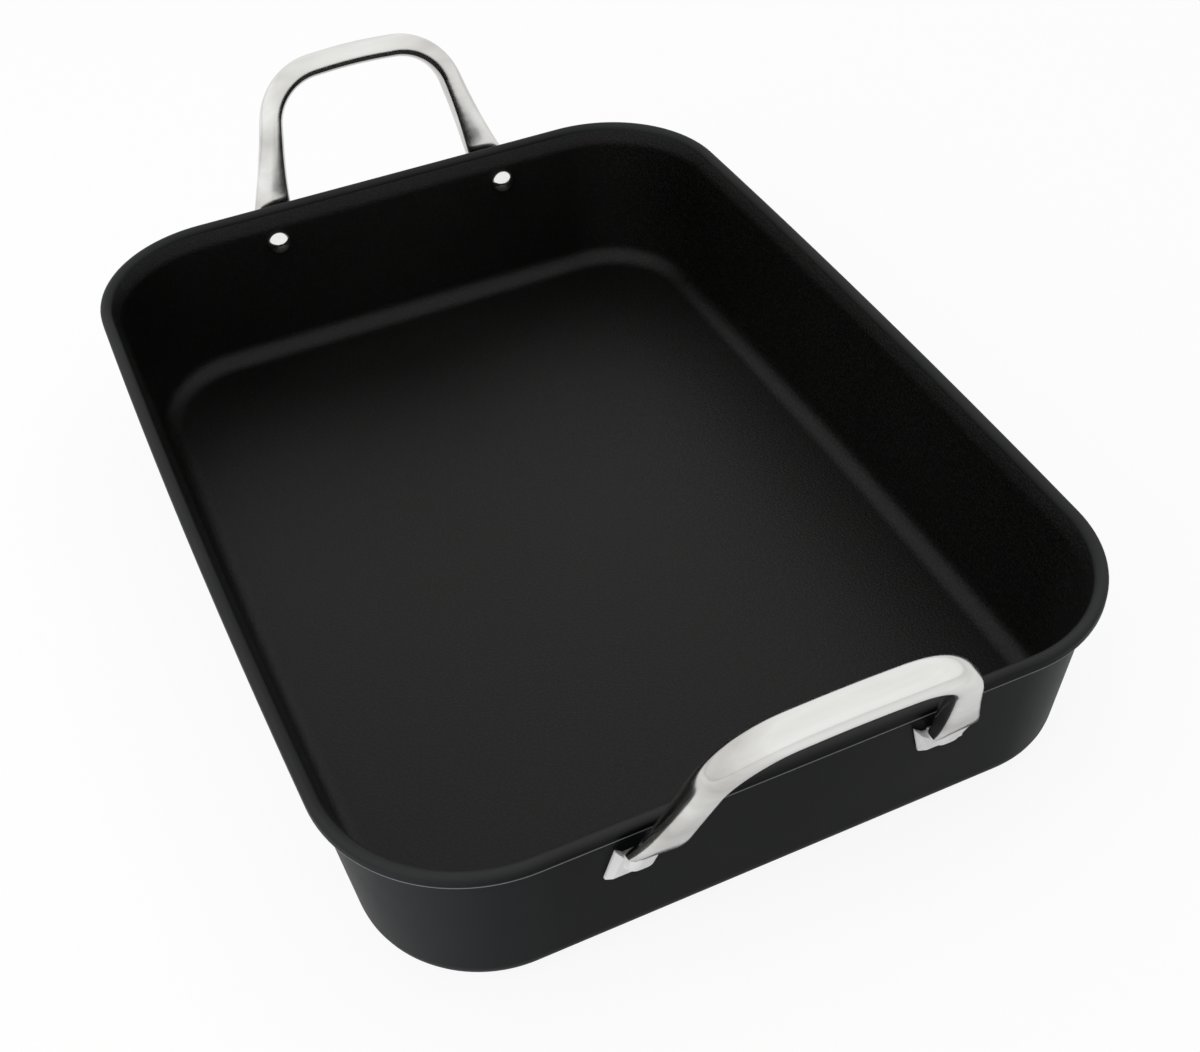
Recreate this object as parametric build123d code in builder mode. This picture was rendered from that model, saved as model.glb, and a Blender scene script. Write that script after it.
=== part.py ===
# An oblong roasting pan with two upright cast handles, each riveted to an end wall.
# The origin is the middle of the underside, X runs along the pan from handle to handle, Z is up.
# All lengths are in millimetres and all angles in degrees.
import os
from math import cos, pi, radians, sin, tan

from build123d import *

os.makedirs("parts", exist_ok=True)

# Pan: the drawn body, its end walls straight and its long sides bowed gently outwards
pan_length = 406.0
pan_width = 305.0
pan_height = 77.0
rim_corner_radius = 58.0
side_turn = 1.5
sheet = 3.0
wall_draft = 5.8
floor_round = 9.5

# Pan: the rolled rim, a lip that turns out and down from the top of the wall
lip_projection = 4.25
lip_height = 5.8
lip_round = 3.0
lip_edge = 2.7
curl_depth = 2.6
curl_round_share = 0.45

# Handle: the hoop, set out on a plane that leans away from the pan
handle_lean = 18.2
leg_standoff = 8.4
hand_rise = 49.4
hoop_top_spread = 81.6
hoop_foot_spread = 110.6
leg_drop = 9.5
hoop_bend = 28.0
crown_rise = 2.4
crown_bend = 230.0

# Handle: the section of the bar, and of the legs, which flare towards the feet
bar_height = 10.4
bar_depth = 12.2
leg_foot_width = 18.3
leg_foot_depth = 5.8
flare_length = 50.0
taper_length = 70.0
knee_shift = 1.0
knee_length = 13.5
outer_squareness = 2.0
inner_squareness = 2.8
foot_squareness = 4.0
squaring_length = 90.0
run_on_share = 0.25
section_points = 20
hoop_sections = 25

# Handle: the feet, each a flat pad on the wall and a chin that carries the leg
pad_width = 18.4
pad_drop = 13.8
pad_rise = 0.8
pad_slant = 1.9
pad_edge = 1.2
pad_bevel = 2.0
chin_width = 10.6
chin_step = 0.6
chin_lean = 21.5
chin_height = 15.0
chin_root_height = 18.0
chin_round = 4.5
chin_edge_round = 3.8

# Rivets: domed heads inside the pan, blind shanks in the feet
rivet_spread = 116.0
rivet_below_rim = 17.5
rivet_head = 11.6
rivet_dome = 4.0
rivet_head_edge = 1.0
rivet_shank = 6.4
rivet_depth = 6.0
rivet_clearance = 0.05

# One overrun for every cut and every joint of two lumps of one casting
overrun = 1.0

# Worked out from the sizes above
half_length = pan_length / 2
half_width = pan_width / 2
draft_rise = tan(radians(wall_draft))
wall_run = sheet / cos(radians(wall_draft))
lip_foot = pan_height - lip_height
corner_x = half_length - rim_corner_radius
side_sweep = corner_x / sin(radians(side_turn))
side_middle_y = half_width - rim_corner_radius
side_axis_y = side_middle_y - side_sweep
corner_y = side_axis_y + side_sweep * cos(radians(side_turn))
lean_rise = tan(radians(handle_lean))
lean_stretch = 1 / cos(radians(handle_lean))
rivet_z = pan_height - rivet_below_rim
leg_end = pan_height - leg_drop
leg_slope = (hoop_foot_spread - hoop_top_spread) / 2 / (hand_rise + leg_drop)
run_on = leg_foot_width * run_on_share


# How far the outer face of a wall lies inside the rim's outer edge, at a height above the table
def wall_inset(height):
    return lip_projection + (lip_foot - height) * draft_rise


# The section of floor, wall and rim, drawn outwards from the upright axis of a corner
def pan_section(plane):
    curl_top = lip_foot + curl_depth
    curl_outside = rim_corner_radius - lip_edge
    curl_inside = rim_corner_radius - wall_inset(curl_top)
    curl_round = (curl_outside - curl_inside) * curl_round_share
    outer_foot = rim_corner_radius - wall_inset(0)
    inner_foot = rim_corner_radius - wall_inset(sheet) - wall_run
    inner_top = rim_corner_radius - wall_inset(pan_height) - wall_run
    outline = [
        ((0, 0), 0),
        ((outer_foot, 0), floor_round + sheet),
        ((curl_inside, curl_top), curl_round),
        ((curl_outside, curl_top), curl_round),
        ((curl_outside, lip_foot), 0),
        ((rim_corner_radius, lip_foot), 0),
        ((rim_corner_radius, pan_height), lip_round),
        ((inner_top, pan_height), lip_round),
        ((inner_foot, sheet), floor_round),
        ((0, sheet), 0),
    ]
    with BuildSketch(plane) as section:
        with BuildLine():
            FilletPolyline(
                [point for point, bend in outline],
                radius=[bend for point, bend in outline],
                close=True,
            )
        make_face()
    return section.sketch


# The plane of the outer face of an end wall, seen from outside and centred on a rivet,
# where end is 1 on the right or -1 on the left, and side is 1 at the back or -1 at the front
def wall_plane(end, side):
    face_x = half_length - wall_inset(rivet_z)
    normal = (end * cos(radians(wall_draft)), 0, -sin(radians(wall_draft)))
    middle = (end * face_x, side * rivet_spread / 2, rivet_z)
    return Plane(origin=middle, x_dir=(0, end, 0), z_dir=normal)


# Pan body: one section carried along a half end, round a corner and along a bowed half side,
# with the floor between them, and the quarter mirrored both ways
with BuildPart() as pan_body:
    end_plane = Plane(origin=(corner_x, 0, 0), x_dir=(1, 0, 0), z_dir=(0, -1, 0))
    extrude(pan_section(end_plane), amount=-corner_y)
    corner_plane = Plane(origin=(corner_x, corner_y, 0), x_dir=(1, 0, 0), z_dir=(0, -1, 0))
    corner_axis = Axis((corner_x, corner_y, 0), (0, 0, 1))
    revolve(pan_section(corner_plane), axis=corner_axis, revolution_arc=90 - side_turn)
    side_plane = Plane(origin=(0, side_middle_y, 0), x_dir=(0, 1, 0), z_dir=(1, 0, 0))
    side_axis = Axis((0, side_axis_y, 0), (0, 0, -1))
    revolve(pan_section(side_plane), axis=side_axis, revolution_arc=side_turn)
    with BuildSketch() as floor_sketch:
        with BuildLine():
            Polyline((0, side_middle_y), (0, 0), (corner_x, 0), (corner_x, corner_y))
            RadiusArc((corner_x, corner_y), (0, side_middle_y), -side_sweep)
        make_face()
    extrude(floor_sketch.sketch, amount=sheet)
    mirror(about=Plane.YZ)
    mirror(about=Plane.XZ)
    # Rivet holes, square to the end walls
    for end in (-1, 1):
        for side in (-1, 1):
            with BuildSketch(wall_plane(end, side)):
                Circle(rivet_shank / 2 + rivet_clearance)
            extrude(amount=-sheet - overrun, mode=Mode.SUBTRACT)
pan_body.part.label = "pan_body"
export_step(pan_body.part, "parts/pan_body.step")


# The plane of the right handle's hoop, through the legs' middles at the height of the rim
def hoop_plane():
    origin = (half_length + leg_standoff, 0, pan_height)
    normal = (cos(radians(handle_lean)), 0, -sin(radians(handle_lean)))
    return Plane(origin=origin, x_dir=(0, 1, 0), z_dir=normal)


# The middle line of the hoop: leg, bend, slightly crowned bar, bend and leg,
# both legs running on below the level where they are cut off
def hoop_line():
    foot = hoop_foot_spread / 2 + run_on * leg_slope
    shoulder = hoop_top_spread / 2
    foot_level = -(leg_drop + run_on) * lean_stretch
    bar_level = hand_rise * lean_stretch
    with BuildLine(hoop_plane()) as line:
        FilletPolyline(
            (-foot, foot_level),
            (-shoulder, bar_level),
            (0, bar_level + crown_rise),
            (shoulder, bar_level),
            (foot, foot_level),
            radius=[hoop_bend, crown_bend, hoop_bend],
        )
    return line.wire()


# How much of the foot's size a section has, from 1 where the leg is cut off to 0 past the flare
def fade(distance, reach):
    return max(0, 1 - distance / reach) ** 2


# One section of the hoop: an oval, rounder on the outside of the loop and flatter towards
# the hand, whose face away from the pan squares up towards the feet
def hoop_section(plane, depth, width, squaring):
    points = []
    for step in range(section_points):
        turn = 2 * pi * step / section_points
        across, along = cos(turn), sin(turn)
        squareness = inner_squareness if along > 0 else outer_squareness
        if across > 0:
            squareness += squaring
        reach_across = abs(across) ** (2 / squareness)
        reach_along = abs(along) ** (2 / squareness)
        x = depth / 2 * (reach_across if across > 0 else -reach_across)
        y = width / 2 * (reach_along if along > 0 else -reach_along)
        points.append((x, y))
    with BuildSketch(plane) as section:
        with BuildLine():
            Spline(points, periodic=True)
        make_face()
    return section.sketch


# All sections of the hoop, from the end of one leg to the end of the other
def hoop_loft_sections():
    line = hoop_line()
    normal = hoop_plane().z_dir
    sections = []
    for step in range(hoop_sections):
        share = step / (hoop_sections - 1)
        distance = line.length * min(share, 1 - share) - run_on * lean_stretch
        flare = fade(distance, flare_length)
        taper = fade(distance, taper_length)
        shift = knee_shift * fade(distance, knee_length)
        middle = line.position_at(share) - normal * shift
        plane = Plane(origin=middle, x_dir=normal, z_dir=line.tangent_at(share))
        depth = bar_depth + (leg_foot_depth - bar_depth) * taper
        width = bar_height + (leg_foot_width - bar_height) * flare
        squaring = foot_squareness * fade(distance, squaring_length)
        sections.append(hoop_section(plane, depth, width, squaring))
    return sections


# The flat pad of the back foot, on the wall, its sides slanting with the leg, then bevelled
def pad_outline(plane, margin):
    half = pad_width / 2 - margin
    top = pad_rise - margin
    bottom = margin - pad_drop
    with BuildSketch(plane) as outline:
        with BuildLine():
            Polyline(
                (-half - pad_slant, top),
                (half - pad_slant, top),
                (half + pad_slant, bottom),
                (-half + pad_slant, bottom),
                close=True,
            )
        make_face()
    return outline.sketch


# The side view of a foot's chin: root on the wall, front face under the leg's end
def chin_outline(plane):
    leg_face = half_length + leg_standoff - leg_drop * lean_rise
    leg_face += (leg_foot_depth / 2 - knee_shift) * lean_stretch
    chin_top_x = leg_face - chin_step
    chin_foot_x = chin_top_x - chin_height * tan(radians(chin_lean))
    chin_foot = leg_end - chin_height
    root = leg_end - chin_root_height
    with BuildSketch(plane) as outline:
        with BuildLine():
            FilletPolyline(
                (half_length - wall_inset(root), root),
                (chin_foot_x, chin_foot),
                (chin_top_x, leg_end),
                (chin_top_x - leg_foot_depth / 2, leg_end + overrun),
                (half_length - wall_inset(leg_end), leg_end - overrun),
                radius=[0, chin_round, 0, 0, 0],
                close=True,
            )
        make_face()
    return outline.sketch


# The chin of the back foot: the side view drawn through, its two front edges rounded
with BuildPart() as chin:
    chin_plane = Plane(
        origin=(0, rivet_spread / 2 + chin_width / 2, 0), x_dir=(1, 0, 0), z_dir=(0, -1, 0)
    )
    extrude(chin_outline(chin_plane), amount=chin_width)
    front_face = chin.faces().sort_by(lambda face: face.normal_at().X)[-1]
    fillet(front_face.edges().filter_by(Axis.Y, reverse=True), chin_edge_round)

# The hoop: all its sections lofted, and both legs cut off level
with BuildPart() as hoop:
    loft(hoop_loft_sections())
    split(bisect_by=Plane.XY.offset(leg_end), keep=Keep.TOP)

# Right handle: two feet, the hoop that joins them, and a blind bore for each rivet
with BuildPart() as handle_right:
    back_wall = wall_plane(1, 1)
    extrude(pad_outline(back_wall, 0), amount=pad_edge)
    bevel_planes = (back_wall.offset(pad_edge), back_wall.offset(pad_edge + pad_bevel))
    loft([pad_outline(bevel_planes[0], 0), pad_outline(bevel_planes[1], pad_bevel)], ruled=True)
    add(chin.part)
    mirror(about=Plane.XZ)
    add(hoop.part)
    for side in (-1, 1):
        with BuildSketch(wall_plane(1, side)):
            Circle(rivet_shank / 2 + rivet_clearance)
        extrude(amount=rivet_depth + rivet_clearance, mode=Mode.SUBTRACT)
handle_right.part.label = "handle_right"
export_step(handle_right.part, "parts/handle_right.step")

# Left handle: the same casting turned to face the other way
with BuildPart() as handle_left:
    mirror(handle_right.part, about=Plane.YZ)
handle_left.part.label = "handle_left"
export_step(handle_left.part, "parts/handle_left.step")


# A rivet: a shallow dome on the inner face of the wall, and a shank out into the foot
def rivet_section(plane):
    head = rivet_head / 2
    shank = rivet_shank / 2
    crown = sheet + rivet_head_edge + rivet_dome
    with BuildSketch(plane) as section:
        with BuildLine():
            Polyline((0, -crown), (0, rivet_depth), (shank, rivet_depth))
            Polyline((shank, rivet_depth), (shank, -sheet), (head, -sheet))
            Line((head, -sheet), (head, -sheet - rivet_head_edge))
            rim = (head, -sheet - rivet_head_edge)
            dome_radius = (head**2 + rivet_dome**2) / (2 * rivet_dome)
            RadiusArc(rim, (0, -crown), dome_radius)
        make_face()
    return section.sketch


ends = {1: "right", -1: "left"}
sides = {1: "back", -1: "front"}
for end, end_name in ends.items():
    for side, side_name in sides.items():
        wall = wall_plane(end, side)
        with BuildPart() as rivet:
            axis_plane = Plane(origin=wall.origin, x_dir=wall.x_dir, z_dir=-wall.y_dir)
            revolve(rivet_section(axis_plane), axis=Axis(wall.origin, wall.z_dir))
        rivet.part.label = f"rivet_{end_name}_{side_name}"
        export_step(rivet.part, f"parts/{rivet.part.label}.step")
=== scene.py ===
# %% [markdown]
# # An oblong roasting pan, dressed over its CAD frame
# The pan is a drawn aluminium tray with a rolled rim. Each end wall carries one cast,
# polished handle, held by two rivets whose domed heads show inside the pan.
# The CAD model is loaded first and stays fixed. Everything else is placed from it, in metres.

# %% Load the frame
from math import asin, cos, pi, radians, sin, tan

import bpy
import bmesh
from mathutils import Euler, Matrix, Vector


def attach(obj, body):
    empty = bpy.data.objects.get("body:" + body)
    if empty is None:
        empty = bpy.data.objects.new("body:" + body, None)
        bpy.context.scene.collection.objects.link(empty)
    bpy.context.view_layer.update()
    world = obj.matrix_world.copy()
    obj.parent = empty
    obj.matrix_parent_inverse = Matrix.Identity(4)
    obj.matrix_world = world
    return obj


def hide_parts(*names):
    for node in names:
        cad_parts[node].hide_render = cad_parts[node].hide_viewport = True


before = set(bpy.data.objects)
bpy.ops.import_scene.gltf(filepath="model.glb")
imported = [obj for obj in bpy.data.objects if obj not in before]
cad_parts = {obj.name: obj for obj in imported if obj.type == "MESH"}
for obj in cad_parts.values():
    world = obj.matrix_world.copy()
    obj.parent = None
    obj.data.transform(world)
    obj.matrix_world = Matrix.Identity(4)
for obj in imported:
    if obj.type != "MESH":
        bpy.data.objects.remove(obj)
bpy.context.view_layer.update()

# %% [markdown]
# ## The camera
# A camera is a pinhole with a lens length and a sensor width. Its place and its three turns
# were worked out from the rim's outline in the photograph. The near end of the pan comes out
# larger than the far end because the camera stands close, about 0.7 m away. A longer lens
# from further off would lose that, so the lens length was worked out with the place.

# %% Camera
camera_data = bpy.data.cameras.new("camera")
camera_data.sensor_width = 36
camera_data.lens = 50.19
camera_data.clip_start = 0.01
camera = bpy.data.objects.new("camera", camera_data)
camera.location = (0.494606, -0.189605, 0.501069)
CAMERA_TURNS = (47.0564, 2.1889, 65.0837)
camera.rotation_euler = Euler([radians(turn) for turn in CAMERA_TURNS])
bpy.context.scene.collection.objects.link(camera)
bpy.context.scene.camera = camera
bpy.context.scene.view_settings.view_transform = "Standard"
print("camera stands", round(camera.location.length, 3), "m from the pan's middle")

# %% [markdown]
# ## Two helpers for node trees
# Finishes and swept shapes are both node trees. Writing `1 - mask * 0.3` is easier to read
# than five lines that add and join Math nodes, so one small class wraps a socket and turns
# each operator into a node. A second class holds the tree and adds any other node by its
# type, first its settings and then the values or links of its sockets.

# %% A socket that can be calculated with
class Wire:
    def __init__(self, board, socket):
        self.board = board
        self.socket = socket

    def __add__(self, other):
        return self.board.math("ADD", self, other)

    def __sub__(self, other):
        return self.board.math("SUBTRACT", self, other)

    def __rsub__(self, other):
        return self.board.math("SUBTRACT", other, self)

    def __mul__(self, other):
        return self.board.math("MULTIPLY", self, other)

    def __truediv__(self, other):
        return self.board.math("DIVIDE", self, other)

    def __rtruediv__(self, other):
        return self.board.math("DIVIDE", other, self)

    def __pow__(self, other):
        return self.board.math("POWER", self, other)

    __radd__ = __add__
    __rmul__ = __mul__

    def at(self, name):
        return Wire(self.board, self.socket.node.outputs[name])


# %% A board of nodes
class Board:
    def __init__(self, tree):
        self.tree = tree

    def add(self, kind, settings=None, feeds=None, output=None):
        node = self.tree.nodes.new(kind)
        for name, value in (settings or {}).items():
            if name == "stops":
                self.set_stops(node.color_ramp, value)
            else:
                setattr(node, name, value)
        for key, value in (feeds or {}).items():
            if isinstance(value, Wire):
                self.tree.links.new(value.socket, node.inputs[key])
            else:
                node.inputs[key].default_value = value
        outputs = [socket for socket in node.outputs if socket.enabled]
        if output is not None:
            return Wire(self, node.outputs[output])
        return Wire(self, outputs[0]) if outputs else node

    def set_stops(self, ramp, stops):
        while len(ramp.elements) < len(stops):
            ramp.elements.new(1.0)
        for element, (place, level) in zip(ramp.elements, stops):
            element.position = place
            element.color = (level, level, level, 1)

    def math(self, operation, *values):
        return self.add("ShaderNodeMath", {"operation": operation}, dict(enumerate(values)))

    def vector(self, operation, *values):
        return self.add("ShaderNodeVectorMath", {"operation": operation}, dict(enumerate(values)))

    def scaled(self, vector, size):
        return self.add("ShaderNodeVectorMath", {"operation": "SCALE"}, {0: vector, "Scale": size})

    def ramp(self, wire, *stops):
        return self.add("ShaderNodeValToRGB", {"stops": stops}, {0: wire}) * 1.0

    def mix_colours(self, share, first, second):
        settings = {"data_type": "RGBA"}
        feeds = {0: share, 6: first, 7: second}
        return self.add("ShaderNodeMix", settings, feeds, output=2)

    def noise(self, place, scale, detail=2.0, roughness=0.5):
        feeds = {"Vector": place, "Scale": scale, "Detail": detail, "Roughness": roughness}
        return self.add("ShaderNodeTexNoise", None, feeds)

    def bump(self, height, distance, strength=1.0, under=None):
        feeds = {"Height": height, "Distance": distance, "Strength": strength}
        if under is not None:
            feeds["Normal"] = under
        return self.add("ShaderNodeBump", None, feeds)


def grey(level, warmth=0.0):
    return (level * (1 + warmth), level, level * (1 - warmth), 1)


# %% Start a material
def new_finish(name):
    material = bpy.data.materials.new(name)
    material.use_nodes = True
    material.node_tree.nodes.clear()
    return material, Board(material.node_tree)


def close_finish(board, feeds):
    shader = board.add("ShaderNodeBsdfPrincipled", None, feeds)
    board.add("ShaderNodeOutputMaterial", None, {"Surface": shader})


# %% [markdown]
# ## The coating inside the pan
# A sprayed and baked coating is almost black and slightly warm, with a pebbled grain of about
# a millimetre, and finer pebbles in it, that breaks the light up into a soft satin. The grain
# is a bump, its crowns are a little lighter than its hollows, and a slow cloud keeps the sheen
# from being even.

# %% Coating
def make_coating():
    material, board = new_finish("baked_coating")
    place = board.add("ShaderNodeTexCoord", output="Object")
    grain = board.noise(place, scale=1000, detail=3.0, roughness=0.65)
    cloud = board.noise(place, scale=14, detail=4.0, roughness=0.55)
    crowns = board.ramp(grain, (0.46, 0.0), (0.62, 1.0))
    hollow_grey, crown_grey = grey(0.0001, 0.06), grey(0.0065, 0.08)
    colour = board.mix_colours(crowns * 0.75 + cloud * 0.2, hollow_grey, crown_grey)
    close_finish(board, {
        "Base Color": colour,
        "Roughness": 0.31 + cloud * 0.12 - crowns * 0.05,
        "Specular IOR Level": 0.21,
        "Normal": board.bump(grain, distance=0.0002, strength=1.0),
    })
    return material


coating = make_coating()
print("made", coating.name)

# %% [markdown]
# ## The anodised outside
# Hard anodising leaves a charcoal oxide, smoother than the coating and with a cold tint.
# Drawing the sheet through a die can leave very faint upright streaks in it. The rim's crest is
# lighter and the lip's lower edge carries a bright line. Both are painted partly as wear and
# partly as a highlight that these edges catch. Height alone tells where they are, so masks on the
# height set them off. All four outer corners carry a painted highlight: a faint lighter, bluer
# tint, set off by how far out a point lies along X and along Y. Whether that is the finish or the
# light can't be told, so all four corners have the same faint tint, set off by how far out a
# point lies along X and along Y.

# %% Anodised skin
CREST_STARTS = 0.0735
CREST_FADE = 0.0026
EDGE_HEIGHT = 0.0714
EDGE_FADE = 0.0009
CORNER_HIGHLIGHT_STARTS = (("X", 0.147), ("Y", 0.085))
CORNER_HIGHLIGHT_FADE = 0.05


def make_anodised():
    material, board = new_finish("hard_anodised_skin")
    place = board.add("ShaderNodeTexCoord", output="Object")
    pores = board.noise(place, scale=3400, detail=2.0, roughness=0.5)
    drawn = board.add("ShaderNodeMapping", None, {"Vector": place, "Scale": (1, 1, 0.06)})
    streaks = board.noise(drawn, scale=420, detail=3.0, roughness=0.6)
    cloud = board.noise(place, scale=22, detail=4.0, roughness=0.6)
    dark_oxide, light_oxide = (0.0008, 0.001, 0.0012, 1), (0.0032, 0.0038, 0.0042, 1)
    oxide = board.mix_colours(streaks * 0.5 + cloud * 0.5, dark_oxide, light_oxide)
    parts = board.add("ShaderNodeSeparateXYZ", None, {0: place})
    corner_highlight_reach = []
    for axis, start in CORNER_HIGHLIGHT_STARTS:
        beyond = (board.math("ABSOLUTE", parts.at(axis)) - start) / CORNER_HIGHLIGHT_FADE
        corner_highlight_reach.append(board.ramp(beyond, (0.0, 0.0), (1.0, 1.0)))
    # Painted highlight: the four outer corners get a lighter, bluer tint.
    corners = corner_highlight_reach[0] * corner_highlight_reach[1] * (0.7 + streaks * 0.3)
    oxide = board.mix_colours(corners, oxide, (0.020, 0.0245, 0.026, 1))
    height = parts.at("Z")
    # The crest is painted lighter, partly as wear and partly as a highlight.
    crest = board.ramp((height - CREST_STARTS) / CREST_FADE, (0.0, 0.0), (1.0, 1.0))
    # The lip's lower edge gets a bright line, painted partly as wear and partly as a highlight.
    from_edge = board.math("ABSOLUTE", height - EDGE_HEIGHT) / EDGE_FADE
    edge = board.ramp(from_edge, (0.2, 1.0), (1.0, 0.0))
    worn_and_highlit = board.mix_colours(crest * (0.6 + cloud * 0.4), oxide, (0.036, 0.0365, 0.036, 1))
    colour = board.mix_colours(edge * (0.6 + streaks * 0.4), worn_and_highlit, (0.35, 0.36, 0.365, 1))
    close_finish(board, {
        "Base Color": colour,
        "Roughness": 0.32 + cloud * 0.10 + streaks * 0.06,
        "Specular IOR Level": 0.04,
        "Normal": board.bump(pores * 0.6 + streaks * 0.4, distance=0.00003, strength=0.6),
    })
    return material


anodised = make_anodised()
print("made", anodised.name)

# %% [markdown]
# ## The polished castings
# The handles look like polished castings, so they shine but are never quite flat: low waves
# and hair-fine lines run through the surface. The grey differs in patches and in soft streaks
# along the bar, partly as uneven polish and partly as painted reflections.

# %% Polished casting
def make_casting():
    material, board = new_finish("polished_casting")
    place = board.add("ShaderNodeTexCoord", output="Object")
    waves = board.noise(place, scale=90, detail=2.0, roughness=0.4)
    stretched = board.add("ShaderNodeMapping", None, {"Vector": place, "Scale": (1, 0.45, 1)})
    mottle = board.noise(stretched, scale=42, detail=2.0, roughness=0.45)
    polish_and_reflection_patches = board.ramp(mottle, (0.32, 0.0), (0.64, 1.0))
    along = board.add("ShaderNodeMapping", None, {"Vector": place, "Scale": (1, 0.08, 1)})
    lines = board.noise(along, scale=2600, detail=2.0, roughness=0.6)
    bands = board.noise(along, scale=170, detail=2.0, roughness=0.5)
    streaks = board.ramp(bands, (0.30, 0.0), (0.68, 1.0))
    darker_steel, lighter_steel = (0.50, 0.49, 0.47, 1), (0.83, 0.83, 0.81, 1)
    # Patches and streaks in the grey: partly uneven polish, partly painted reflections.
    colour = board.mix_colours(polish_and_reflection_patches * 0.75 + streaks * 0.25, darker_steel, lighter_steel)
    under = board.bump(waves, distance=0.0004, strength=0.25)
    close_finish(board, {
        "Base Color": colour,
        "Metallic": 1.0,
        "Roughness": 0.12 + polish_and_reflection_patches * 0.05 + lines * 0.04,
        "Normal": board.bump(lines, distance=0.00002, strength=0.25, under=under),
    })
    return material


casting = make_casting()
print("made", casting.name)

# %% [markdown]
# ## The rivet heads
# A rivet's head is struck by a polished die, so it is made the smoothest metal on the pan.

# %% Struck rivet metal
def make_rivet_metal():
    material, board = new_finish("struck_rivet_metal")
    place = board.add("ShaderNodeTexCoord", output="Object")
    scuffs = board.noise(place, scale=700, detail=4.0, roughness=0.65)
    colour = board.mix_colours(scuffs, (0.76, 0.76, 0.755, 1), (0.90, 0.90, 0.89, 1))
    close_finish(board, {
        "Base Color": colour,
        "Metallic": 1.0,
        "Roughness": 0.07 + scuffs * 0.08,
        "Normal": board.bump(scuffs, distance=0.00002, strength=0.5),
    })
    return material


rivet_metal = make_rivet_metal()
print("made", rivet_metal.name)

# %% Give the CAD nodes their finishes
finish_by_first_word = {"pan": anodised, "handle": casting, "rivet": rivet_metal}
for name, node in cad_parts.items():
    finish = finish_by_first_word[name.split("_")[0]]
    node.data.materials.clear()
    node.data.materials.append(finish)
    for face in node.data.polygons:
        face.material_index = 0
print("gave", len(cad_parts), "CAD nodes their finishes")

# %% [markdown]
# ## The pan's own sizes
# The sizes are the ones that the solid was drawn from, so a shape that is made again here for
# its looks lands on the solid without any fitting. The last five are not in the solid: they
# give the rim a narrower crest, as in the photograph, and let the inner wall flare out to it
# above the rivet heads. That costs something: the crest comes out 1 mm lower than the solid's,
# and the metal beside the lip's hollow thins to 1.15 mm. Below the flare the section is the
# solid's. The solid's rivet holes are left out here, because heads and pads cover them.

# %% Sizes of the pan, in metres
MM = 0.001
PAN_LENGTH = 406 * MM
PAN_WIDTH = 305 * MM
PAN_HEIGHT = 77 * MM
CORNER = 58 * MM
SIDE_TURN = radians(1.5)
SHEET = 3 * MM
DRAFT = radians(5.8)
FLOOR_ROUND = 9.5 * MM
LIP_OUT = 4.25 * MM
LIP_DROP = 5.8 * MM
LIP_ROUND = 3 * MM
LIP_EDGE = 2.7 * MM
CURL = 2.6 * MM
RIM_WIDTH = 4.7 * MM
CREST_FALL = 2.2 * MM
CREST_ROUND = 1.8 * MM
FLARE_FOOT = 67.5 * MM
FLARE_BEND = 12 * MM

lip_foot = PAN_HEIGHT - LIP_DROP
wall_run = SHEET / cos(DRAFT)


def wall_inset(height):
    return LIP_OUT + (lip_foot - height) * tan(DRAFT)


print("at the table the wall stands", round(wall_inset(0) / MM, 1), "mm inside the rim")

# %% [markdown]
# ## The pan as one swept section
# A press draws a flat blank into the tray, so floor, wall and rim are one sheet. Cut through
# it anywhere and the same section shows. That is a rule, and Geometry Nodes are good at
# rules: draw the section once, then carry it round the outline of the rim.
# The outline is made of arcs. Its ends are straight, its long sides bow out by 2 mm, and
# between them are corners. A point on an arc is the arc's centre plus its radius along the
# normal, so a point of the section only shortens the radius by its inset from the rim.

# %% Round the corners of a section
def rounded(corners, steps_for_a_right_angle=10, steps_for_each=None):
    points = []
    for place, (corner, radius) in enumerate(corners):
        corner = Vector(corner)
        if not radius:
            points.append(corner)
            continue
        before = (Vector(corners[place - 1][0]) - corner).normalized()
        after = (Vector(corners[place + 1][0]) - corner).normalized()
        opening = before.angle(after)
        middle = corner + (before + after).normalized() * radius / sin(opening / 2)
        first = corner + before * radius / tan(opening / 2) - middle
        swing = pi - opening
        side = 1 if before.x * after.y - before.y * after.x < 0 else -1
        steps = steps_for_each or max(3, round(steps_for_a_right_angle * swing / (pi / 2)))
        for step in range(steps + 1):
            turn = side * swing * step / steps
            points.append(middle + Matrix.Rotation(turn, 2) @ first)
    return points


# %% The section of the pan, from the floor inside, over the rim and back under the floor
curl_top = lip_foot + CURL
curl_outside = LIP_EDGE
curl_inside = wall_inset(curl_top)
CURL_ROUND_SHARE = 0.45
curl_round = (curl_inside - curl_outside) * CURL_ROUND_SHARE
PRESS_EDGE = 0.35 * MM
LAST_RING_RADIUS = 12 * MM
section_corners = [
    ((CORNER - LAST_RING_RADIUS, SHEET), 0),
    ((wall_inset(SHEET) + wall_run, SHEET), FLOOR_ROUND),
    ((wall_inset(FLARE_FOOT) + wall_run, FLARE_FOOT), FLARE_BEND),
    ((RIM_WIDTH, PAN_HEIGHT - CREST_FALL), LIP_ROUND),
    ((0, PAN_HEIGHT), CREST_ROUND),
    ((0, lip_foot), PRESS_EDGE * 2),
    ((curl_outside, lip_foot), PRESS_EDGE),
    ((curl_outside, curl_top), curl_round),
    ((curl_inside, curl_top), curl_round),
    ((wall_inset(0), 0), FLOOR_ROUND + SHEET),
    ((CORNER - LAST_RING_RADIUS, 0), 0),
]
section_points = [(point.x, 0, point.y) for point in rounded(section_corners)]
middle_top = (0, 1, SHEET)
middle_under = (0, 1, 0)
section_points = [middle_top] + section_points + [middle_under]
print("the section has", len(section_points), "points")

# %% [markdown]
# ## A tree that sweeps the section
# The section is a row of points whose x is the inset from the rim and whose z is the height.
# The tree makes a grid with one column for each place on the rim and one row for each point
# of the section, and then sets every vertex by the rule above. A section point with y = 1
# lies on the middle line of the floor, where the rows from both sides meet and are merged.

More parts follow.
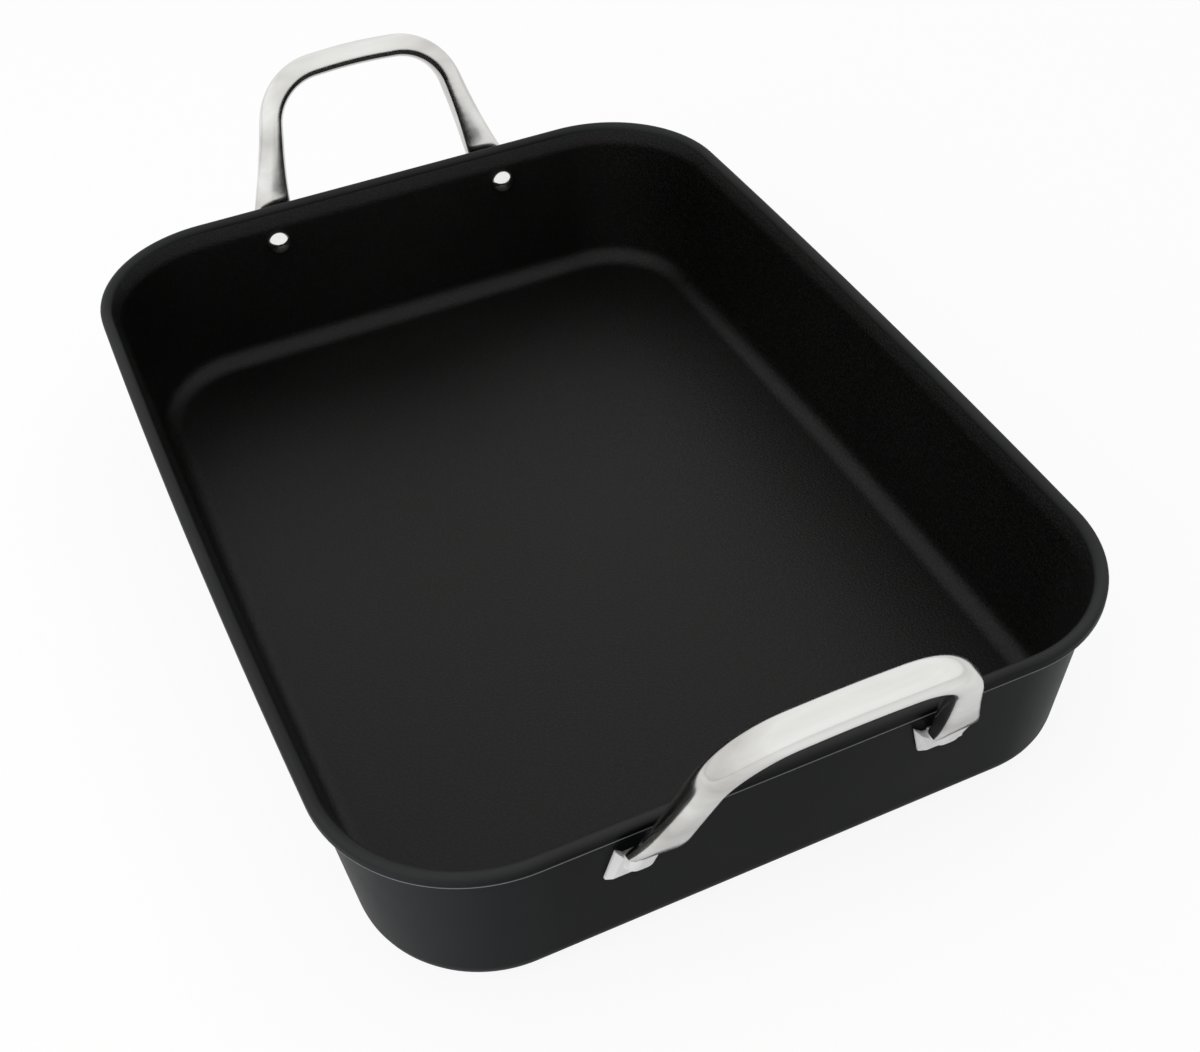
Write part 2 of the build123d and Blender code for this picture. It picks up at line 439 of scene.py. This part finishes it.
# %% Start a geometry tree with named inputs
def new_tree(name, sizes):
    tree = bpy.data.node_groups.new(name, "GeometryNodeTree")
    tree.interface.new_socket("Geometry", in_out="INPUT", socket_type="NodeSocketGeometry")
    tree.interface.new_socket("Geometry", in_out="OUTPUT", socket_type="NodeSocketGeometry")
    for size in sizes:
        tree.interface.new_socket(size, in_out="INPUT", socket_type="NodeSocketFloat")
    board = Board(tree)
    return tree, board, board.add("NodeGroupInput")


# %% A grid's places, and the seed mesh's point for a place
def grid_places(board, rows):
    index = board.add("GeometryNodeInputIndex")
    column = board.math("FLOOR", (index + 0.5) / rows)
    return index, column, index - column * rows


def seed_point(board, given, place):
    position = board.add("GeometryNodeInputPosition")
    sample = board.add(
        "GeometryNodeSampleIndex",
        {"data_type": "FLOAT_VECTOR"},
        {"Geometry": given.at("Geometry"), "Value": position, "Index": place},
    )
    return board.add("ShaderNodeSeparateXYZ", None, {0: sample})


def finish_tree(board, geometry, material):
    whole = board.add("GeometryNodeRealizeInstances", None, {"Geometry": geometry})
    return board.add("GeometryNodeSetMaterial", None, {"Geometry": whole, "Material": material})


# %% Run a tree on a mesh and keep the result as a plain mesh
def grow(name, tree, sizes, points=(), edges=()):
    seed_mesh = bpy.data.meshes.new(name + "_seed")
    seed_mesh.from_pydata(points, edges, [])
    seed = bpy.data.objects.new(name + "_seed", seed_mesh)
    bpy.context.scene.collection.objects.link(seed)
    modifier = seed.modifiers.new("grow", "NODES")
    modifier.node_group = tree
    for item in tree.interface.items_tree:
        if item.in_out == "INPUT" and item.name in sizes:
            modifier[item.identifier] = sizes[item.name]
    bpy.context.view_layer.update()
    graph = bpy.context.evaluated_depsgraph_get()
    mesh = bpy.data.meshes.new_from_object(seed.evaluated_get(graph))
    seed.modifiers.remove(modifier)
    bpy.data.objects.remove(seed)
    mesh.name = name
    piece = bpy.data.objects.new(name, mesh)
    bpy.context.scene.collection.objects.link(piece)
    return piece


# %% The sweeping tree
CORNER_STEPS = 28
SIDE_STEPS = 6


def build_sweep(rows, coated_rows):
    sizes = ("Length", "Width", "Corner Radius", "Side Turn", "Middle Line")
    tree, board, given = new_tree("sweep_round_the_rim", sizes)
    length, width, corner, turn, middle_line = (given.at(size) for size in sizes)
    quarter = CORNER_STEPS + SIDE_STEPS
    half = 2 * quarter + 1
    counts = {"Vertices X": 2 * half + 1, "Vertices Y": rows}
    grid = board.add("GeometryNodeMeshGrid", None, counts)
    index, column, row = grid_places(board, rows)
    column = board.math("MODULO", column, 2.0 * half)
    second_half = board.math("FLOOR", (column + 0.5) / half)
    step = column - second_half * half
    flip = 1 - second_half * 2
    side_x = 1 - board.math("GREATER_THAN", step, quarter + 0.5) * 2
    place = quarter - board.math("ABSOLUTE", step - quarter)
    on_side = board.math("GREATER_THAN", place, CORNER_STEPS + 0.5)
    in_corner = board.math("MINIMUM", place, CORNER_STEPS * 1.0) / CORNER_STEPS
    in_side = board.math("MAXIMUM", place - CORNER_STEPS, 0.0) / SIDE_STEPS
    angle = in_corner * (pi / 2 - turn) + in_side * turn
    corner_x = length / 2 - corner
    sweep = corner_x / board.math("SINE", turn)
    axis_y = width / 2 - corner - sweep
    corner_y = axis_y + sweep * board.math("COSINE", turn)
    centre_x = corner_x * (1 - on_side)
    centre_y = corner_y + on_side * (axis_y - corner_y)
    parts = seed_point(board, given, row)
    inset, to_middle, height = parts.at("X"), parts.at("Y"), parts.at("Z")
    radius = corner + on_side * sweep - inset
    ring_x = side_x * flip * (centre_x + radius * board.math("COSINE", angle))
    ring_y = flip * (centre_y + radius * board.math("SINE", angle))
    line_x = board.math("MAXIMUM", board.math("MINIMUM", ring_x, middle_line), 0 - middle_line)
    x = ring_x + to_middle * (line_x - ring_x)
    y = ring_y * (1 - to_middle)
    where = board.add("ShaderNodeCombineXYZ", None, {0: x, 1: y, 2: height})
    shaped = board.add("GeometryNodeSetPosition", None, {"Geometry": grid, "Position": where})
    face_row = board.math("MODULO", index, rows - 1.0)
    outside = board.math("GREATER_THAN", face_row, coated_rows - 0.5)
    coated = finish_tree(board, shaped, coating)
    feeds = {"Geometry": coated, "Selection": outside, "Material": anodised}
    skinned = board.add("GeometryNodeSetMaterial", None, feeds)
    board.add("NodeGroupOutput", None, {0: skinned})
    return tree


# %% Turn a mesh's faces outwards and shade it smooth
MESH_WELD = 0.0000005
ML = 0.000001


def face_outwards(piece, sharper_than=None):
    work = bmesh.new()
    work.from_mesh(piece.data)
    bmesh.ops.remove_doubles(work, verts=work.verts, dist=MESH_WELD)
    bmesh.ops.recalc_face_normals(work, faces=work.faces)
    for face in work.faces:
        face.smooth = True
    if sharper_than:
        for edge in work.edges:
            edge.smooth = len(edge.link_faces) == 2 and edge.calc_face_angle() < sharper_than
    open_edges = sum(len(edge.link_faces) != 2 for edge in work.edges)
    work.to_mesh(piece.data)
    volume = work.calc_volume()
    work.free()
    print(piece.name, "has", len(piece.data.polygons), "faces and", open_edges, "open edges")
    print("    its closed surfaces add up to", round(volume / ML, 1), "ml, overlaps counted twice")


# %% Sweep the pan
COAT_SHARE = 0.6
coat_top = PAN_HEIGHT - CREST_FALL - LIP_ROUND * COAT_SHARE
rim_row = next(row for row, point in enumerate(section_points) if point[2] > coat_top)
sweep_tree = build_sweep(len(section_points), rim_row)
pan_shell = grow(
    "pan_shell",
    sweep_tree,
    {
        "Length": PAN_LENGTH,
        "Width": PAN_WIDTH,
        "Corner Radius": CORNER,
        "Side Turn": SIDE_TURN,
        "Middle Line": (PAN_LENGTH - PAN_WIDTH) / 2,
    },
    section_points,
)
face_outwards(pan_shell)
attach(pan_shell, "root")
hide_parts("pan_body")

# %% [markdown]
# ## A cast handle, set out on a leaning plane
# Each handle is one casting: a hoop for the hand, whose legs turn from an oval bar
# into flat straps, and two feet. The hoop follows a line of five corners with round bends,
# and its section changes with the distance from the foot. That is a rule too, so it is grown
# with Geometry Nodes: a grid of points, one column for each place along the line and one row
# for each place round the section. The last row lies on the first, which closes the seam, and
# the rows gather at the two sides, where the squared outer half meets the rounder inner half.

# %% Sizes of a handle, in metres
LEAN = radians(18.2)
STANDOFF = 8.4 * MM
HAND_RISE = 49.4 * MM
TOP_SPREAD = 81.6 * MM
FOOT_SPREAD = 110.6 * MM
LEG_DROP = 9.5 * MM
HOOP_BEND = 28 * MM
CROWN_RISE = 2.4 * MM
CROWN_BEND = 230 * MM
FOOT_WIDTH = 18.3 * MM
FOOT_DEPTH = 5.8 * MM
KNEE_SHIFT = 1 * MM
RUN_ON_SHARE = 0.25
RUN_ON = FOOT_WIDTH * RUN_ON_SHARE
LEG_END = PAN_HEIGHT - LEG_DROP
hoop_sizes = {
    "Lean": LEAN,
    "Bend": HOOP_BEND,
    "Crown Bend": CROWN_BEND,
    "Bar Depth": 12.2 * MM,
    "Bar Height": 10.4 * MM,
    "Foot Depth": FOOT_DEPTH,
    "Foot Width": FOOT_WIDTH,
    "Flare Length": 50 * MM,
    "Taper Length": 70 * MM,
    "Squaring Length": 90 * MM,
    "Knee Length": 13.5 * MM,
    "Knee Shift": KNEE_SHIFT,
    "Run On": RUN_ON / cos(LEAN),
    "Outer Squareness": 2.0,
    "Inner Squareness": 2.8,
    "Foot Squareness": 4.0,
}
leg_slope = (FOOT_SPREAD - TOP_SPREAD) / 2 / (HAND_RISE + LEG_DROP)


def on_hoop_plane(across, up):
    return (PAN_LENGTH / 2 + STANDOFF + up * sin(LEAN), across, PAN_HEIGHT + up * cos(LEAN))


foot_across = FOOT_SPREAD / 2 + RUN_ON * leg_slope
foot_up = -(LEG_DROP + RUN_ON) / cos(LEAN)
bar_up = HAND_RISE / cos(LEAN)
hoop_corners = [
    on_hoop_plane(-foot_across, foot_up),
    on_hoop_plane(-TOP_SPREAD / 2, bar_up),
    on_hoop_plane(0, bar_up + CROWN_RISE),
    on_hoop_plane(TOP_SPREAD / 2, bar_up),
    on_hoop_plane(foot_across, foot_up),
]
print("the hoop's line has", len(hoop_corners), "corners")

# %% The tree that grows the hoop
HOOP_COLUMNS = 121
HOOP_ROWS = 81
SIDE_GATHER = 0.3
POINTS_IN_A_BEND = 40
TREE_WELD = 0.000001


def fade(board, distance, reach):
    return board.math("MAXIMUM", 1 - distance / reach, 0.0) ** 2.0


def build_hoop():
    tree, board, given = new_tree("grow_the_hoop", hoop_sizes)
    counts = {"Vertices X": HOOP_COLUMNS, "Vertices Y": HOOP_ROWS}
    grid = board.add("GeometryNodeMeshGrid", None, counts)
    index, column, row = grid_places(board, HOOP_ROWS)
    share = column / (HOOP_COLUMNS - 1)
    corners = board.add("GeometryNodeMeshToCurve", None, {"Mesh": given.at("Geometry")})
    at_crown = board.math("COMPARE", index, 2.0, 0.1)
    bend = given.at("Bend") + at_crown * (given.at("Crown Bend") - given.at("Bend"))
    bends = {"Curve": corners, "Count": POINTS_IN_A_BEND, "Radius": bend}
    bent = board.add("GeometryNodeFilletCurve", {"mode": "POLY"}, bends)
    line = board.add("GeometryNodeResampleCurve", None, {"Curve": bent, "Count": HOOP_COLUMNS})
    length = board.add("GeometryNodeCurveLength", None, {"Curve": line})
    along_line = {"Curves": line, "Factor": share}
    sample = board.add("GeometryNodeSampleCurve", {"mode": "FACTOR"}, along_line)
    middle, tangent = sample.at("Position"), sample.at("Tangent")
    outwards = board.math("COSINE", given.at("Lean"))
    downwards = 0 - board.math("SINE", given.at("Lean"))
    normal = board.add("ShaderNodeCombineXYZ", None, {0: outwards, 2: downwards})
    towards_hand = board.vector("CROSS_PRODUCT", tangent, normal)
    distance = length * board.math("MINIMUM", share, 1 - share) - given.at("Run On")
    taper = fade(board, distance, given.at("Taper Length"))
    flare = fade(board, distance, given.at("Flare Length"))
    depth = given.at("Bar Depth") + (given.at("Foot Depth") - given.at("Bar Depth")) * taper
    width = given.at("Bar Height") + (given.at("Foot Width") - given.at("Bar Height")) * flare
    shift = given.at("Knee Shift") * fade(board, distance, given.at("Knee Length"))
    even_turn = board.math("MODULO", row, HOOP_ROWS - 1.0) * (2 * pi / (HOOP_ROWS - 1))
    turn = even_turn + board.math("SINE", even_turn * 2) * SIDE_GATHER
    across, along = board.math("COSINE", turn), board.math("SINE", turn)
    hand_side = board.math("GREATER_THAN", along, 0.0)
    outer_face = board.math("GREATER_THAN", across, 0.0)
    squareness = given.at("Outer Squareness") + hand_side * (
        given.at("Inner Squareness") - given.at("Outer Squareness")
    )
    squaring = given.at("Foot Squareness") * fade(board, distance, given.at("Squaring Length"))
    power = 2 / (squareness + outer_face * squaring)
    x = depth / 2 * board.math("SIGN", across) * board.math("ABSOLUTE", across) ** power - shift
    y = width / 2 * board.math("SIGN", along) * board.math("ABSOLUTE", along) ** power
    offset = board.vector("ADD", board.scaled(normal, x), board.scaled(towards_hand, y))
    where = board.vector("ADD", middle, offset)
    shaped = board.add("GeometryNodeSetPosition", None, {"Geometry": grid, "Position": where})
    merging = {"Geometry": shaped, "Distance": TREE_WELD}
    merged = board.add("GeometryNodeMergeByDistance", None, merging)
    board.add("NodeGroupOutput", None, {0: finish_tree(board, merged, casting)})
    return tree


hoop_edges = [(place, place + 1) for place in range(len(hoop_corners) - 1)]
hoop = grow("hoop", build_hoop(), hoop_sizes, hoop_corners, hoop_edges)
print("hoop has", len(hoop.data.polygons), "faces")

# %% [markdown]
# ## Legs cut level, with the burr taken off
# The legs end in a level cut just above the feet, and that end throws the thin dark line
# which sets the leg off from its foot. A plane cuts the mesh, a cap closes it, and a small
# bevel stands for the polisher's wheel that breaks every edge.

# %% Cut the legs
BROKEN_EDGE = 0.3 * MM


def take_off(work, edges, width):
    settings = {"segments": 2, "profile": 0.5, "affect": "EDGES", "clamp_overlap": True}
    bmesh.ops.bevel(work, geom=edges, offset=width, **settings)


def cut_level(piece, height):
    work = bmesh.new()
    work.from_mesh(piece.data)
    parts = work.verts[:] + work.edges[:] + work.faces[:]
    plane = {"plane_co": (0, 0, height), "plane_no": (0, 0, 1)}
    bmesh.ops.bisect_plane(work, geom=parts, clear_inner=True, **plane)
    cut = [edge for edge in work.edges if edge.is_boundary]
    bmesh.ops.holes_fill(work, edges=cut, sides=0)
    bmesh.ops.recalc_face_normals(work, faces=work.faces)
    take_off(work, [edge for edge in cut if edge.is_valid], BROKEN_EDGE)
    work.to_mesh(piece.data)
    work.free()


cut_level(hoop, LEG_END)
print("cut the legs off", round(LEG_END / MM, 1), "mm above the table")

# %% [markdown]
# ## The feet
# A foot is a flat pad that sits on the wall, with a chin on it that carries the leg. The pad's
# sides slant with the leg, its edges are bevelled, and a notch with sloping ends is cut into
# its top. The chin's front is rounded off to both sides, with a thin groove under the leg's
# end. The notch, the groove and a deep pocket between chin and wall make the dark gap that the
# photograph shows. The solid has none of the three: its chin is filled back to the wall. The
# end of its rivet's shank would stand up to 2.5 mm out of the pocket's floor, but shanks and
# their bores aren't drawn here, so that doesn't show.
# Pad and chin are stacks of rings, one ring for each layer, skinned with faces.

# %% Skin a stack of rings
def skin(work, rings):
    loops = [[work.verts.new(point) for point in ring] for ring in rings]
    count = len(loops[0])
    for lower, upper in zip(loops, loops[1:]):
        for place in range(count):
            following = (place + 1) % count
            work.faces.new((lower[place], lower[following], upper[following], upper[place]))
    work.faces.new(list(reversed(loops[0])))
    work.faces.new(loops[-1])


def break_edges(work, width, sharper_than):
    bmesh.ops.recalc_face_normals(work, faces=work.faces)
    inner = [edge for edge in work.edges if len(edge.link_faces) == 2]
    take_off(work, [edge for edge in inner if edge.calc_face_angle() > sharper_than], width)


# %% Pad
RIVET_SPREAD = 116 * MM
RIVET_Z = PAN_HEIGHT - 17.5 * MM
PAD_WIDTH = 18.4 * MM
PAD_DROP = 13.8 * MM
PAD_RISE = 0.8 * MM
PAD_SLANT = 1.9 * MM
PAD_EDGE = 1.2 * MM
PAD_BEVEL = 2.0 * MM
PAD_NOTCH = 4.2 * MM
PAD_SHARP = radians(20)


def on_wall(side, across, up, out):
    face_x = PAN_LENGTH / 2 - wall_inset(RIVET_Z)
    x = face_x + up * sin(DRAFT) + out * cos(DRAFT)
    return (x, side * (RIVET_SPREAD / 2 + across), RIVET_Z + up * cos(DRAFT) - out * sin(DRAFT))


def pad_ring(side, margin, out):
    half = PAD_WIDTH / 2 - margin
    top, bottom = PAD_RISE - margin, margin - PAD_DROP
    return [
        on_wall(side, -half - PAD_SLANT, top, out),
        on_wall(side, -half - PAD_SLANT + PAD_NOTCH, top - PAD_NOTCH, out),
        on_wall(side, half - PAD_SLANT - PAD_NOTCH, top - PAD_NOTCH, out),
        on_wall(side, half - PAD_SLANT, top, out),
        on_wall(side, half + PAD_SLANT, bottom, out),
        on_wall(side, -half + PAD_SLANT, bottom, out),
    ]


def make_pad(side):
    work = bmesh.new()
    layers = ((0, 0), (0, PAD_EDGE), (PAD_BEVEL, PAD_EDGE + PAD_BEVEL))
    skin(work, [pad_ring(side, margin, out) for margin, out in layers])
    break_edges(work, BROKEN_EDGE, PAD_SHARP)
    return work


# %% Chin
CHIN_WIDTH = 10.6 * MM
CHIN_STEP = 0.6 * MM
CHIN_LEAN = radians(21.5)
CHIN_HEIGHT = 15 * MM
CHIN_ROOT = 18 * MM
CHIN_ROUND = 4.5 * MM
CHIN_SIDE_ROUND = 3.8 * MM
CHIN_FIRST_TURN = radians(25)
CHIN_STEPS = 8
CHIN_DEPTH_SHARE = 0.78
SUNK = 1 * MM
GROOVE = 1.15 * MM
GROOVE_DEPTH = 1.0 * MM
POCKET_FLOOR = RIVET_Z + 2.5 * MM
POCKET_FOOT = RIVET_Z - 2.5 * MM


def chin_ring(across, setback):
    leg_middle = PAN_LENGTH / 2 + STANDOFF - LEG_DROP * tan(LEAN)
    leg_face = leg_middle + (FOOT_DEPTH / 2 - KNEE_SHIFT) / cos(LEAN)
    back_x = leg_face - FOOT_DEPTH * CHIN_DEPTH_SHARE
    top_x = leg_face - CHIN_STEP - setback
    foot_x = top_x - CHIN_HEIGHT * tan(CHIN_LEAN)
    foot, root = LEG_END - CHIN_HEIGHT, LEG_END - CHIN_ROOT
    outline = [
        ((PAN_LENGTH / 2 - wall_inset(root), root), 0),
        ((foot_x, foot), CHIN_ROUND),
        ((top_x, LEG_END - GROOVE), 0),
        ((top_x - GROOVE_DEPTH, LEG_END - GROOVE), 0),
        ((top_x - GROOVE_DEPTH, LEG_END + SUNK), 0),
        ((back_x, LEG_END - SUNK), 0),
        ((back_x - SUNK / 2, POCKET_FLOOR), 0),
        ((PAN_LENGTH / 2 - wall_inset(POCKET_FOOT), POCKET_FOOT), 0),
    ]
    return [(point.x, across, point.y) for point in rounded(outline, steps_for_each=CHIN_STEPS)]


def make_chin(side):
    work = bmesh.new()
    rings = []
    for end in (-1, 1):
        for step in range(CHIN_STEPS + 1):
            share = (step if end < 0 else CHIN_STEPS - step) / CHIN_STEPS
            turn = CHIN_FIRST_TURN + (pi / 2 - CHIN_FIRST_TURN) * share
            inward = CHIN_SIDE_ROUND * (1 - cos(turn))
            setback = CHIN_SIDE_ROUND * (1 - sin(turn))
            across = side * RIVET_SPREAD / 2 + end * (CHIN_WIDTH / 2 - inward)
            rings.append(chin_ring(across, setback))
    skin(work, rings)
    return work


# %% One handle from its five lumps
SMOOTH_BELOW = radians(35)


def add_lump(piece, work):
    lump = bmesh.new()
    lump.from_mesh(piece.data)
    extra = bpy.data.meshes.new("lump")
    work.to_mesh(extra)
    lump.from_mesh(extra)
    lump.to_mesh(piece.data)
    lump.free()
    work.free()
    bpy.data.meshes.remove(extra)


for side in (-1, 1):
    add_lump(hoop, make_pad(side))
    add_lump(hoop, make_chin(side))

handles = {}
for end, end_name in ((1, "right"), (-1, "left")):
    mesh = hoop.data.copy()
    mesh.transform(Matrix.Diagonal((end, 1, 1, 1)))
    handles[end_name] = bpy.data.objects.new(f"handle_{end_name}_casting", mesh)
    bpy.context.scene.collection.objects.link(handles[end_name])
    face_outwards(handles[end_name], SMOOTH_BELOW)
    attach(handles[end_name], "root")
    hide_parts(f"handle_{end_name}")
bpy.data.objects.remove(hoop)

# %% [markdown]
# ## Four rivet heads
# A rivet is a shape that repeats, so the tree makes one domed head, puts an instance of it on
# each of four points and turns each to look out of its wall. Realize Instances at the end
# makes them real faces, because an export drops instances.

# %% The rivet tree
RIVET_HEAD = 11.6 * MM
RIVET_DOME = 4 * MM
RIVET_EDGE = 1 * MM
RIVET_COLUMNS = 49
DOME_STEPS = 12
rivet_sizes = {
    "Spread": RIVET_SPREAD,
    "Height": RIVET_Z + SHEET * sin(DRAFT),
    "Inner Face": PAN_LENGTH / 2 - wall_inset(RIVET_Z) - SHEET * cos(DRAFT),
    "Draft": DRAFT,
}
dome_radius = ((RIVET_HEAD / 2) ** 2 + RIVET_DOME**2) / (2 * RIVET_DOME)
dome_half_turn = asin(RIVET_HEAD / 2 / dome_radius)
dome_middle = RIVET_EDGE + RIVET_DOME - dome_radius
head_profile = [(0, 0, 0)]
head_profile += [(RIVET_HEAD / 2 - BROKEN_EDGE, 0, 0), (RIVET_HEAD / 2, 0, BROKEN_EDGE)]
for step in range(DOME_STEPS + 1):
    turn = dome_half_turn * (1 - step / DOME_STEPS)
    head_profile.append((dome_radius * sin(turn), 0, dome_middle + dome_radius * cos(turn)))
print("a rivet head's profile has", len(head_profile), "points")


def build_rivets(rows):
    tree, board, given = new_tree("set_the_rivets", rivet_sizes)
    counts = {"Vertices X": RIVET_COLUMNS, "Vertices Y": rows}
    grid = board.add("GeometryNodeMeshGrid", None, counts)
    column, row = grid_places(board, rows)[1:]
    parts = seed_point(board, given, row)
    turn = column * (2 * pi / (RIVET_COLUMNS - 1))
    x = parts.at("X") * board.math("COSINE", turn)
    y = parts.at("X") * board.math("SINE", turn)
    where = board.add("ShaderNodeCombineXYZ", None, {0: x, 1: y, 2: parts.at("Z")})
    turned = board.add("GeometryNodeSetPosition", None, {"Geometry": grid, "Position": where})
    merging = {"Geometry": turned, "Distance": TREE_WELD}
    head = board.add("GeometryNodeMergeByDistance", None, merging)
    apart = {"Size X": given.at("Inner Face") * 2, "Size Y": given.at("Spread")}
    four = board.add("GeometryNodeMeshGrid", None, {**apart, "Vertices X": 2, "Vertices Y": 2})
    lift = board.add("ShaderNodeCombineXYZ", None, {2: given.at("Height")})
    raised = board.add("GeometryNodeSetPosition", None, {"Geometry": four, "Offset": lift})
    position = board.add("GeometryNodeInputPosition")
    ends = board.add("ShaderNodeSeparateXYZ", None, {0: position})
    inwards = 0 - board.math("SIGN", ends.at("X")) * board.math("COSINE", given.at("Draft"))
    upwards = board.math("SINE", given.at("Draft"))
    out_of_wall = board.add("ShaderNodeCombineXYZ", None, {0: inwards, 2: upwards})
    aim = board.add("FunctionNodeAlignRotationToVector", {"axis": "Z"}, {"Vector": out_of_wall})
    placing = {"Points": raised, "Instance": head, "Rotation": aim}
    placed = board.add("GeometryNodeInstanceOnPoints", None, placing)
    board.add("NodeGroupOutput", None, {0: finish_tree(board, placed, rivet_metal)})
    return tree


# %% Set the rivets
rivets = grow("rivet_heads", build_rivets(len(head_profile)), rivet_sizes, head_profile)
face_outwards(rivets, SMOOTH_BELOW)
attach(rivets, "root")
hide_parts("rivet_right_front", "rivet_right_back", "rivet_left_front", "rivet_left_back")

# %% [markdown]
# ## Floor, world and lamps
# The pan stands on a pale floor in a white studio. Light Path lets the camera see the world
# white and the floor nearly so, with the pan's shadow left in it, and lets the metal reflect
# the world in full and the floor in part. The light on the pan itself stays at a plain level
# and comes from the world, a wide lamp overhead and a smaller one at the side. The two lamps
# don't show in a reflection.

# %% Seen by the camera or by a reflection
def seen_directly(board):
    path = board.add("ShaderNodeLightPath")
    seen = path.at("Is Camera Ray") + path.at("Is Glossy Ray") + path.at("Is Transmission Ray")
    return board.add("ShaderNodeMath", {"operation": "MINIMUM"}, {0: seen, 1: 1.0})


# %% Floor
FLOOR_REACH = 4.0
FLOOR_BELOW = 0.4 * MM
WHITE_TO_CAMERA = 0.9
WHITE_TO_METAL = 0.35
floor_mesh = bpy.data.meshes.new("floor")
corner_signs = ((-1, -1), (1, -1), (1, 1), (-1, 1))
floor_corners = [(x * FLOOR_REACH, y * FLOOR_REACH, 0) for x, y in corner_signs]
floor_mesh.from_pydata(floor_corners, [], [(0, 1, 2, 3)])
floor = bpy.data.objects.new("floor", floor_mesh)
floor.location.z = -FLOOR_BELOW
bpy.context.scene.collection.objects.link(floor)
floor_finish, board = new_finish("pale_floor")
paper = board.add("ShaderNodeBsdfDiffuse", None, {"Color": (0.9, 0.9, 0.9, 1)})
white = board.add("ShaderNodeEmission", None, {"Color": (1, 1, 1, 1), "Strength": 1.0})
path = board.add("ShaderNodeLightPath")
reflected = path.at("Is Glossy Ray") + path.at("Is Transmission Ray")
share = path.at("Is Camera Ray") * WHITE_TO_CAMERA + reflected * WHITE_TO_METAL
lit = board.add("ShaderNodeMixShader", None, {0: share, 1: paper, 2: white})
board.add("ShaderNodeOutputMaterial", None, {"Surface": lit})
floor_mesh.materials.append(floor_finish)

# %% World
LIGHT_ON_PAN = 0.45
world = bpy.data.worlds.new("studio")
world.use_nodes = True
world.node_tree.nodes.clear()
board = Board(world.node_tree)
around = board.add("ShaderNodeBackground", None, {"Color": (1, 1, 1, 1), "Strength": LIGHT_ON_PAN})
backdrop = board.add("ShaderNodeBackground", None, {"Color": (1, 1, 1, 1), "Strength": 1.0})
seen = board.add("ShaderNodeMixShader", None, {0: seen_directly(board), 1: around, 2: backdrop})
board.add("ShaderNodeOutputWorld", None, {"Surface": seen})
bpy.context.scene.world = world


# %% Lamps
def add_lamp(name, place, target, width, height, watts):
    lamp_data = bpy.data.lights.new(name, "AREA")
    lamp_data.shape = "RECTANGLE"
    lamp_data.size = width
    lamp_data.size_y = height
    lamp_data.energy = watts
    lamp = bpy.data.objects.new(name, lamp_data)
    lamp.location = place
    lamp.visible_glossy = False
    aim = Vector(target) - Vector(place)
    lamp.rotation_euler = aim.to_track_quat("-Z", "Y").to_euler()
    bpy.context.scene.collection.objects.link(lamp)
    print("the", name, "lamp gives", watts, "W")


add_lamp("overhead", (-0.35, 0.1, 1.6), (0, 0, 0), width=2.4, height=1.8, watts=13)
add_lamp("side", (0.5, -1.4, 0.9), (0, 0, 0.05), width=1.1, height=1.1, watts=14)
